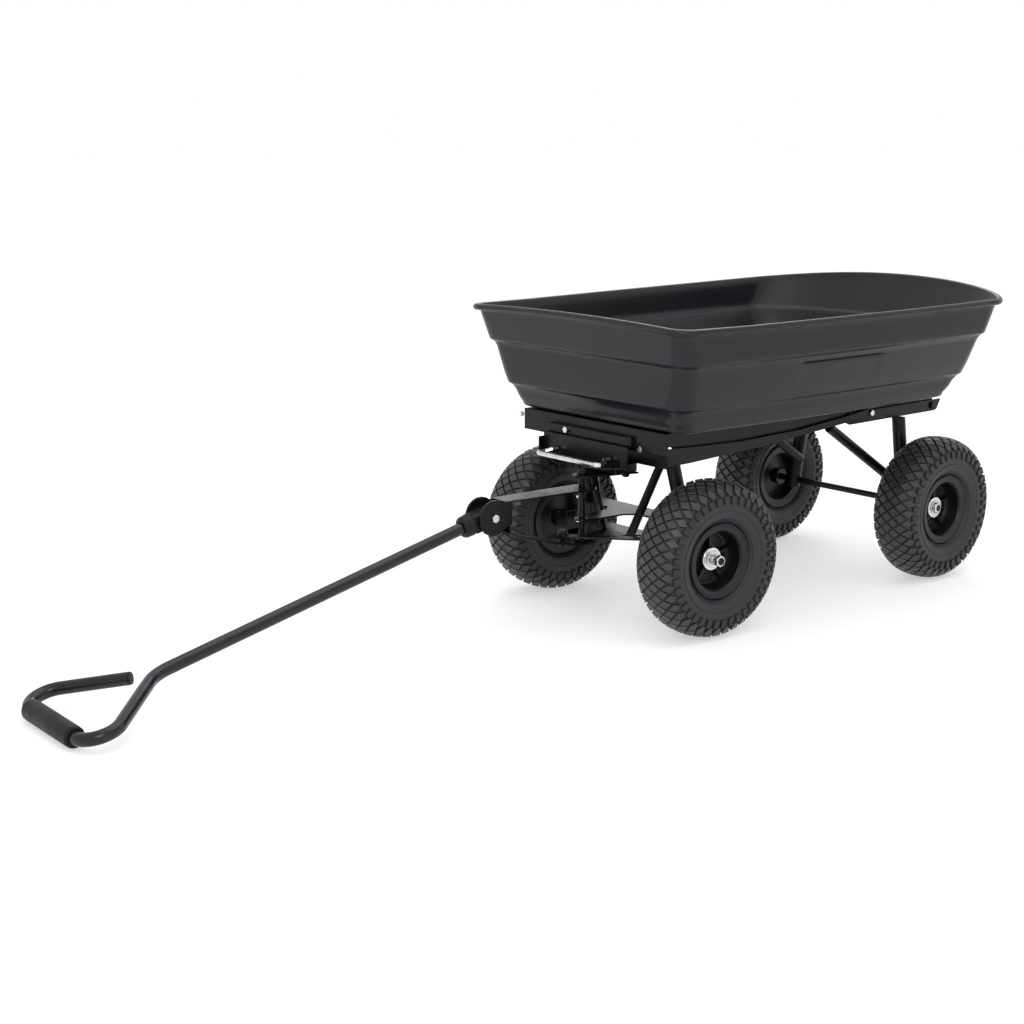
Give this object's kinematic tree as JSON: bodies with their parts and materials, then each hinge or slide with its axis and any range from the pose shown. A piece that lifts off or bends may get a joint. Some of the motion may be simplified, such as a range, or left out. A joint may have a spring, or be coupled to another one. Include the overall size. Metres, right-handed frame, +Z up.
{
  "type": "tow behind cart",
  "caption": "Garden dump cart: flared moulded tub that tips about a rear hinge on a bent steel chassis, linkage-steered front wheels, knobbly tyres and a folding pull handle with a D grip.",
  "frame": {"origin": "on the ground, under the middle of the whole object's box", "axes": "+Z up, +X to the rear of the cart, -X to the pull handle, -Y the cart's left"},
  "size_m": [1.8008, 0.5788, 0.5326],
  "materials": {
    "powder_coat": "black satin to gloss powder coat on steel sheet and tube",
    "tub_plastic": "charcoal moulded polyethylene, fine texture, soft sheen",
    "rim_plastic": "deep black moulded plastic, satin",
    "tyre_rubber": "matte black rubber with a block tread",
    "grip_rubber": "matte black rubber sleeve, plug and socket",
    "zinc": "bright zinc plate"
  },
  "bodies": {
    "chassis": {"front_rail_left": "powder_coat", "front_rail_right": "powder_coat", "rear_rail_left": "powder_coat", "rear_rail_right": "powder_coat", "splice_bolt_left": "zinc", "splice_bolt_right": "zinc", "front_cross_member": "powder_coat", "middle_cross_member": "powder_coat", "rear_cross_member": "powder_coat", "hinge_pin": "powder_coat", "axle_beam_lower": "powder_coat", "axle_beam_upper": "powder_coat", "front_leg_left": "powder_coat", "front_leg_right": "powder_coat", "front_brace_left": "powder_coat", "front_brace_right": "powder_coat", "steering_top_plate": "powder_coat", "steering_head_bracket": "powder_coat", "kingpin": "powder_coat", "knuckle_pin_left": "zinc", "knuckle_pin_right": "zinc", "rear_leg_left": "powder_coat", "rear_leg_right": "powder_coat", "rear_brace_left": "powder_coat", "rear_brace_right": "powder_coat", "rear_axle": "powder_coat", "rear_axle_nut_left": "zinc", "rear_axle_nut_right": "zinc"},
    "tub": {"tub": "tub_plastic", "tub_bolt_front": "zinc", "tub_bolt_rear": "zinc", "tub_rail_left": "powder_coat", "tub_rail_right": "powder_coat", "tub_cross_plate": "powder_coat", "tub_cross_strip": "powder_coat", "latch_housing": "powder_coat", "latch_plate": "powder_coat", "latch_bolt": "zinc"},
    "release_bail": {"release_bail": "zinc"},
    "drawbar": {"drawbar_yoke": "powder_coat", "clevis_bolt": "zinc", "tie_rod_bolt": "powder_coat"},
    "handle": {"handle_tube": "powder_coat", "handle_grip": "grip_rubber", "handle_end_plug": "grip_rubber", "handle_socket": "grip_rubber"},
    "tie_rod_left": {"tie_rod_left": "powder_coat"},
    "tie_rod_right": {"tie_rod_right": "powder_coat"},
    "knuckle_left": {"steering_knuckle_left": "powder_coat", "front_axle_nut_left": "zinc"},
    "knuckle_right": {"steering_knuckle_right": "powder_coat", "front_axle_nut_right": "zinc"},
    "wheel_front_left": {"tyre_front_left": "tyre_rubber", "rim_front_left": "rim_plastic"},
    "wheel_front_right": {"tyre_front_right": "tyre_rubber", "rim_front_right": "rim_plastic"},
    "wheel_rear_left": {"tyre_rear_left": "tyre_rubber", "rim_rear_left": "rim_plastic"},
    "wheel_rear_right": {"tyre_rear_right": "tyre_rubber", "rim_rear_right": "rim_plastic"}
  },
  "joints": [
    {"name": "tub_tip", "type": "hinge", "parent": "chassis", "child": "tub", "pos_m": [0.8545, 0, 0.2955], "axis": [0, 1, 0], "range_deg": [0, 90]},
    {"name": "bail_lift", "type": "hinge", "parent": "tub", "child": "release_bail", "pos_m": [0.056, 0, 0.285], "axis": [0, 1, 0], "range_deg": [0, 50]},
    {"name": "drawbar_steer", "type": "hinge", "parent": "chassis", "child": "drawbar", "pos_m": [0.0585, 0, 0.2], "axis": [0, 0, 1], "range_deg": [-20, 29]},
    {"name": "handle_lift", "type": "hinge", "parent": "drawbar", "child": "handle", "pos_m": [-0.13388, 0.01542, 0.205], "axis": [0.0486, 0.9988, 0], "range_deg": [0, 100]},
    {"name": "tie_rod_left_swing", "type": "hinge", "parent": "drawbar", "child": "tie_rod_left", "pos_m": [0.01863, 0.0032, 0.1512], "axis": [0, 0, 1], "range_deg": [-29.5, 20.5]},
    {"name": "tie_rod_right_swing", "type": "hinge", "parent": "drawbar", "child": "tie_rod_right", "pos_m": [0.01863, 0.0032, 0.1545], "axis": [0, 0, 1], "range_deg": [-29.5, 20.5]},
    {"name": "knuckle_left_steer", "type": "hinge", "parent": "chassis", "child": "knuckle_left", "pos_m": [0.1625, -0.12, 0.158], "axis": [0, 0, 1], "range_deg": [-20.5, 29.5]},
    {"name": "knuckle_right_steer", "type": "hinge", "parent": "chassis", "child": "knuckle_right", "pos_m": [0.1625, 0.12, 0.158], "axis": [0, 0, 1], "range_deg": [-20.5, 29.5]},
    {"name": "wheel_front_left_spin", "type": "hinge", "parent": "knuckle_left", "child": "wheel_front_left", "pos_m": [0.15643, -0.19576, 0.13], "axis": [0.0799, 0.9968, 0], "continuous": true},
    {"name": "wheel_front_right_spin", "type": "hinge", "parent": "knuckle_right", "child": "wheel_front_right", "pos_m": [0.16857, 0.19576, 0.13], "axis": [0.0799, 0.9968, 0], "continuous": true},
    {"name": "wheel_rear_left_spin", "type": "hinge", "parent": "chassis", "child": "wheel_rear_left", "pos_m": [0.7469, -0.196, 0.13], "axis": [0, 1, 0], "continuous": true},
    {"name": "wheel_rear_right_spin", "type": "hinge", "parent": "chassis", "child": "wheel_rear_right", "pos_m": [0.7469, 0.196, 0.13], "axis": [0, 1, 0], "continuous": true}
  ],
  "couplings": [
    {"joint": "tie_rod_left_swing", "follows": "drawbar_steer", "ratio": -1},
    {"joint": "tie_rod_right_swing", "follows": "drawbar_steer", "ratio": -1},
    {"joint": "knuckle_left_steer", "follows": "drawbar_steer", "ratio": 1},
    {"joint": "knuckle_right_steer", "follows": "drawbar_steer", "ratio": 1}
  ]
}
